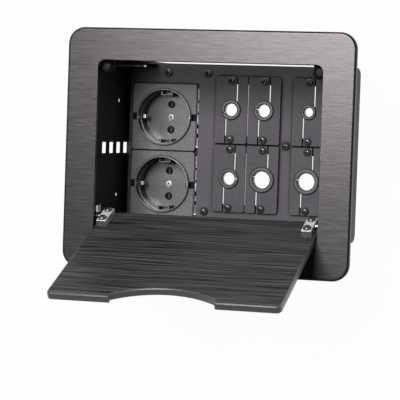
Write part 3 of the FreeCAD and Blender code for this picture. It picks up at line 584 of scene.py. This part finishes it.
insert_grey = finish(
    "insert_coat_grey", SPECKLE, {"Grain mm": 0.8, "Cloud mm": 30.0},
    dark=(0.090, 0.083, 0.093), light=(0.150, 0.139, 0.153), gloss=(0.48, 0.58),
    relief_mm=0.010, ease_mm=0.35, fine_share=0.7, Specular_IOR_Level=0.05,
)
grommet_rubber = finish(
    "grommet_rubber", SPECKLE, {"Grain mm": 0.3, "Cloud mm": 5.0},
    dark=(0.040, 0.039, 0.040), light=(0.066, 0.064, 0.066), gloss=(0.26, 0.36),
    relief_mm=0.006, ease_mm=0.4,
)
for row in "ab":
    for column in "123":
        place = "insert_%s%s_" % (row, column)
        dress(insert_grey, place + "left", place + "right")
        dress(grommet_rubber, place + "grommet")


# Screws. Black pan-head machine screws with a cross recess hold the inserts, panel, hinges and walls.
# Bright ones hold the sockets. Each is turned, pressed and plated, and no two recesses stand alike.
# The faces of every cross recess are painted near-black, as painted shade.

HEAD_R = 0.0030
HEAD_H = 0.0024
SHANK_R = 0.0015
HEAD_STEPS = 28
RIM_IN = 0.94
RIM_UP = 0.10
DOME_STEPS = 6
DOME_POWER = 0.8
CROSS_WIDTH = 0.30
CROSS_REACH = 0.62
CROSS_DEPTH = 0.75
CROSS_TOP = 1.3
CROSS_FOOT = 0.35


def lathe(bm, profile, steps):
    # Turns (radius, height) points about Z into a closed skin; the first and last lie on the axis.
    rings = []
    turns = [2 * math.pi * k / steps for k in range(steps)]
    for radius, height in profile:
        ring = [(radius * math.cos(turn), radius * math.sin(turn), height) for turn in turns]
        if radius == 0:
            ring = [(0, 0, height)]
        rings.append([bm.verts.new(point) for point in ring])
    for low, high in zip(rings, rings[1:]):
        for k in range(steps):
            corners = [
                low[k % len(low)], low[(k + 1) % len(low)],
                high[(k + 1) % len(high)], high[k % len(high)],
            ]
            unique = list(dict.fromkeys(corners))
            if len(unique) > 2:
                bm.faces.new(unique)


def cross_head_screw(head_r, head_h, shank_r, shank_l):
    # Domed head standing on z = 0 with its shank below and the cross cut by a tapered tool; the cut
    # faces take the near-black recess coat, as painted shade.
    profile = [
        (0, -shank_l), (shank_r, -shank_l), (shank_r, 0),
        (head_r * RIM_IN, 0), (head_r, head_h * RIM_UP),
    ]
    for k in range(1, DOME_STEPS):
        angle = 0.5 * math.pi * k / DOME_STEPS
        radius = head_r * math.cos(angle) ** DOME_POWER
        profile.append((radius, head_h * (RIM_UP + (1 - RIM_UP) * math.sin(angle))))
    profile.append((0, head_h))
    bm = bmesh.new()
    lathe(bm, profile, HEAD_STEPS)
    bmesh.ops.recalc_face_normals(bm, faces=bm.faces)
    body = make_piece("screw_body", bm, screw_black, screw_recess_painted_shade)
    tool = bmesh.new()
    for turn in (0.0, 0.5 * math.pi):
        made = bmesh.ops.create_cube(tool, size=1.0)["verts"]
        for vert in made:
            top = vert.co.z > 0
            reach = head_r * CROSS_REACH * (1.0 if top else CROSS_FOOT)
            wide = head_r * CROSS_WIDTH * (0.5 if top else CROSS_FOOT)
            level = head_h * (CROSS_TOP if top else 1 - CROSS_DEPTH)
            vert.co = (math.copysign(reach, vert.co.x), math.copysign(wide, vert.co.y), level)
        bmesh.ops.rotate(tool, verts=made, matrix=Matrix.Rotation(turn, 3, "Z"))
    cutter = make_piece("cross_tool", tool, screw_black, screw_recess_painted_shade)
    # Painted shade: the cut faces of the cross get the near-black recess coat.
    for face in cutter.data.polygons:
        face.material_index = 1
    cut = body.modifiers.new("cross", "BOOLEAN")
    cut.object = cutter
    cut.operation = "DIFFERENCE"
    cut.solver = "EXACT"
    cut.use_self = True
    bpy.context.view_layer.update()
    solved = body.evaluated_get(bpy.context.evaluated_depsgraph_get())
    screw = bpy.data.meshes.new_from_object(solved)
    for piece in (body, cutter):
        bpy.data.objects.remove(piece)
    return screw


WELD = 1e-6
ALONG_AXIS = 0.99
FIRST_TURN = 0.5
NEXT_TURN = 2.4
SHARP_ANGLE = math.radians(40)


def islands(obj):
    # The separate solids of a node, as lists of points.
    bm = bmesh.new()
    bm.from_mesh(obj.data)
    bmesh.ops.remove_doubles(bm, verts=bm.verts, dist=WELD)
    left = set(bm.verts)
    found = []
    for first in bm.verts:
        if first not in left:
            continue
        left.remove(first)
        stack = [first]
        points = []
        while stack:
            vert = stack.pop()
            points.append(vert.co.copy())
            for edge in vert.link_edges:
                other = edge.other_vert(vert)
                if other in left:
                    left.remove(other)
                    stack.append(other)
        found.append(points)
    bm.free()
    return found


def place_screws(node, material, body, axis_of, head_r, head_h, shank_r, shank_l):
    # One piece with a screw in the place of each solid of the node, its cross at its own angle.
    pattern = cross_head_screw(head_r, head_h, shank_r, shank_l)
    bm = bmesh.new()
    for count, points in enumerate(islands(nodes[node])):
        low = Vector([min(p[k] for p in points) for k in range(3)])
        high = Vector([max(p[k] for p in points) for k in range(3)])
        middle = (low + high) / 2
        axis = axis_of(middle).normalized()
        top = max((p - middle).dot(axis) for p in points)
        seat = middle + axis * (top - head_h)
        if max(abs(part) for part in axis) < ALONG_AXIS:
            centre = sum(points, Vector()) / len(points)
            seat = centre + axis * (max((p - centre).dot(axis) for p in points) - head_h)
        turn = Matrix.Rotation(count * NEXT_TURN + FIRST_TURN, 4, "Z")
        stand = Vector((0, 0, 1)).rotation_difference(axis).to_matrix().to_4x4()
        start = len(bm.verts)
        bm.from_mesh(pattern)
        bm.verts.ensure_lookup_table()
        move = Matrix.Translation(seat) @ stand @ turn
        bmesh.ops.transform(bm, verts=bm.verts[start:], matrix=move)
    piece = make_piece(node + "_cross_head", bm, material, screw_recess_painted_shade)
    piece.data.shade_smooth()
    piece.data.set_sharp_from_angle(angle=SHARP_ANGLE)
    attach(piece, body)
    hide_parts(node)


FLANGE_Z = -0.005
END_WALL_Y = 0.06


def upright(middle):
    return Vector((0, 0, 1))


def off_the_lid(middle):
    return lid_inside


def off_the_housing(middle):
    if middle.z > FLANGE_Z:
        return Vector((0, 0, -1))
    if abs(middle.y) > END_WALL_Y:
        return Vector((0, math.copysign(1, middle.y), 0))
    return Vector((math.copysign(1, middle.x), 0, 0))


screw_black = finish(
    "screw_black", SPECKLE, {"Grain mm": 0.25, "Cloud mm": 2.5},
    dark=(0.14, 0.14, 0.145), light=(0.23, 0.23, 0.235), gloss=(0.20, 0.28),
    relief_mm=0.003, ease_mm=0.12, Metallic=0.75,
)
# Painted shade: a near-black coat for the faces of the cross recesses.
screw_recess_painted_shade = finish(
    "screw_recess_painted_shade", SPECKLE, {"Grain mm": 0.25, "Cloud mm": 2.5},
    dark=(0.006, 0.006, 0.006), light=(0.012, 0.012, 0.012), gloss=(0.45, 0.55),
    relief_mm=0.003, ease_mm=0.12, Specular_IOR_Level=0.15,
)
# Each row: the node, the body it rides on, which way its heads face, and the length of its shanks.
BLACK_SCREWS = (
    ("insert_screws", "box", upright, 0.0035),
    ("panel_screws", "box", upright, 0.0030),
    ("lid_screws", "lid", off_the_lid, 0.0069),
    ("housing_screws", "box", off_the_housing, 0.0030),
)
for node, body, axis_of, shank_l in BLACK_SCREWS:
    place_screws(node, screw_black, body, axis_of, HEAD_R, HEAD_H, SHANK_R, shank_l)
for row in ROWS:
    place_screws(
        "socket_%s_screw" % row, zinc_bright, "box", upright,
        head_r=0.0026, head_h=0.0014, shank_r=0.0015, shank_l=0.012,
    )


# Table clamps. A zinc-plated threaded stud pressed into each side flange carries a wing nut and a
# jaw that swings out under the table top.

WEAR_PER_M = 300.0
WEAR_DETAIL = 2.0


def thread_turns():
    # Rolled thread: Ridge rises and falls once for each pitch up the stud, Wear is a faint mottle.
    group, given, result = make_group(
        "thread turns", {"Pitch mm": 0.8}, {"Ridge": "NodeSocketFloat", "Wear": "NodeSocketFloat"},
    )
    place = put(group, "ShaderNodeTexCoord").outputs["Object"]
    split = put(group, "ShaderNodeSeparateXYZ", Vector=place)
    turns = math_node(group, "DIVIDE", MM_PER_M, given["Pitch mm"])
    climb = math_node(group, "MULTIPLY", split.outputs["Z"], turns)
    ridge = math_node(group, "PINGPONG", climb, 0.5)
    group.links.new(math_node(group, "MULTIPLY", ridge, 2.0), result["Ridge"])
    noise = put(group, "ShaderNodeTexNoise", Vector=place, Scale=WEAR_PER_M, Detail=WEAR_DETAIL)
    group.links.new(noise.outputs[0], result["Wear"])
    return group


zinc_thread = finish(
    "zinc_thread", thread_turns(), {"Pitch mm": 0.8},
    dark=(0.38, 0.37, 0.35), light=(0.78, 0.77, 0.75), gloss=(0.28, 0.40),
    relief_mm=0.35, ease_mm=0.2, Metallic=1.0,
)
for side in SIDES:
    dress(zinc_thread, "clamp_%s_stud" % side)
    dress(zinc_bright, "clamp_%s_nut" % side, "clamp_%s_jaw" % side)


# Studio. A wide white floor under the housing's lower edge, a level lamp above the rear left and a dim
# room with paler walls, so that the brushed frame is bright at the rear and dark at the front left.

FLOOR_HALF = 6.0
FLOOR_SHARE = 0.975
FLOOR_PAINT = (0.80, 0.80, 0.80, 1.0)
WHITE = (1.0, 1.0, 1.0, 1.0)

floor_z = cad_box[0][2]
floor_mesh = bpy.data.meshes.new("floor")
floor_mesh.from_pydata(
    [(-FLOOR_HALF, -FLOOR_HALF, floor_z), (FLOOR_HALF, -FLOOR_HALF, floor_z),
     (FLOOR_HALF, FLOOR_HALF, floor_z), (-FLOOR_HALF, FLOOR_HALF, floor_z)],
    [], [(0, 1, 2, 3)],
)
floor = bpy.data.objects.new("floor", floor_mesh)
bpy.context.scene.collection.objects.link(floor)
floor_white = bpy.data.materials.new("floor_white")
floor_white.use_nodes = True
tree = floor_white.node_tree
tree.nodes.clear()
path = tree.nodes.new("ShaderNodeLightPath")
seen = math_node(tree, "MAXIMUM", path.outputs["Is Camera Ray"], path.outputs["Is Glossy Ray"])
seen = math_node(tree, "MAXIMUM", seen, path.outputs["Is Transmission Ray"])
share = math_node(tree, "MULTIPLY", seen, FLOOR_SHARE)
paint = put(tree, "ShaderNodeBsdfDiffuse", Color=FLOOR_PAINT)
glow = put(tree, "ShaderNodeEmission", Color=WHITE, Strength=1.0)
mixed = tree.nodes.new("ShaderNodeMixShader")
tree.links.new(share, mixed.inputs[0])
tree.links.new(paint.outputs[0], mixed.inputs[1])
tree.links.new(glow.outputs[0], mixed.inputs[2])
surface = tree.nodes.new("ShaderNodeOutputMaterial")
tree.links.new(mixed.outputs[0], surface.inputs["Surface"])
floor_mesh.materials.append(floor_white)

ROOM_TINT = (1.0, 0.99, 1.0, 1.0)
WALL_FOOT, WALL_TOP = 0.10, 0.70
WALL_LIGHT, CEILING_LIGHT = 0.22, 0.04
SKYLINE_LOW, SKYLINE_HIGH = 0.02, 0.15

room = bpy.data.worlds.new("room")
bpy.context.scene.world = room
room.use_nodes = True
tree = room.node_tree
ray = put(tree, "ShaderNodeTexCoord").outputs["Generated"]
height = put(tree, "ShaderNodeSeparateXYZ", Vector=ray).outputs["Z"]
walls = put(
    tree, "ShaderNodeMapRange", Value=height,
    From_Min=WALL_FOOT, From_Max=WALL_TOP, To_Min=WALL_LIGHT, To_Max=CEILING_LIGHT,
)
skyline = put(
    tree, "ShaderNodeMapRange", Value=height,
    From_Min=SKYLINE_LOW, From_Max=SKYLINE_HIGH, To_Min=1.0, To_Max=0.0,
)
path = put(tree, "ShaderNodeLightPath")
mirrored = math_node(tree, "MULTIPLY", path.outputs["Is Glossy Ray"], skyline.outputs[0])
seen = math_node(tree, "MAXIMUM", path.outputs["Is Camera Ray"], path.outputs["Is Transmission Ray"])
seen = math_node(tree, "MAXIMUM", seen, mirrored)
background = tree.nodes["Background"]
background.inputs["Color"].default_value = ROOM_TINT
tree.links.new(math_node(tree, "MAXIMUM", seen, walls.outputs[0]), background.inputs["Strength"])


def softbox(name, place, wide, deep, watts):
    # A rectangular lamp hung level and facing straight down.
    lamp = bpy.data.lights.new(name, "AREA")
    lamp.shape = "RECTANGLE"
    lamp.size = wide
    lamp.size_y = deep
    lamp.energy = watts
    stand = bpy.data.objects.new(name, lamp)
    stand.location = place
    bpy.context.scene.collection.objects.link(stand)


softbox("main_softbox", place=(-0.32, 0.82, 2.6), wide=1.06, deep=1.38, watts=79.0)


# Camera. A long lens almost straight above the frame and turned a little to its right, as the box
# was photographed.

LENS_MM = 171.03
SENSOR_MM = 36.0
VIEW_REACH = 50.0
CAMERA_PLACE = (0.37939, 0.02099, 1.27977)
CAMERA_TURNS = (("Y", 16.687), ("X", -2.352), ("Z", 1.985))

view = bpy.data.cameras.new("camera")
view.lens = LENS_MM
view.sensor_width = SENSOR_MM
view.clip_end = VIEW_REACH
camera = bpy.data.objects.new("camera", view)
stand = Matrix.Translation(CAMERA_PLACE)
for axis, degrees in CAMERA_TURNS:
    stand = stand @ Matrix.Rotation(math.radians(degrees), 4, axis)
camera.matrix_world = stand
bpy.context.scene.collection.objects.link(camera)
bpy.context.scene.camera = camera
bpy.context.scene.view_settings.view_transform = "Standard"
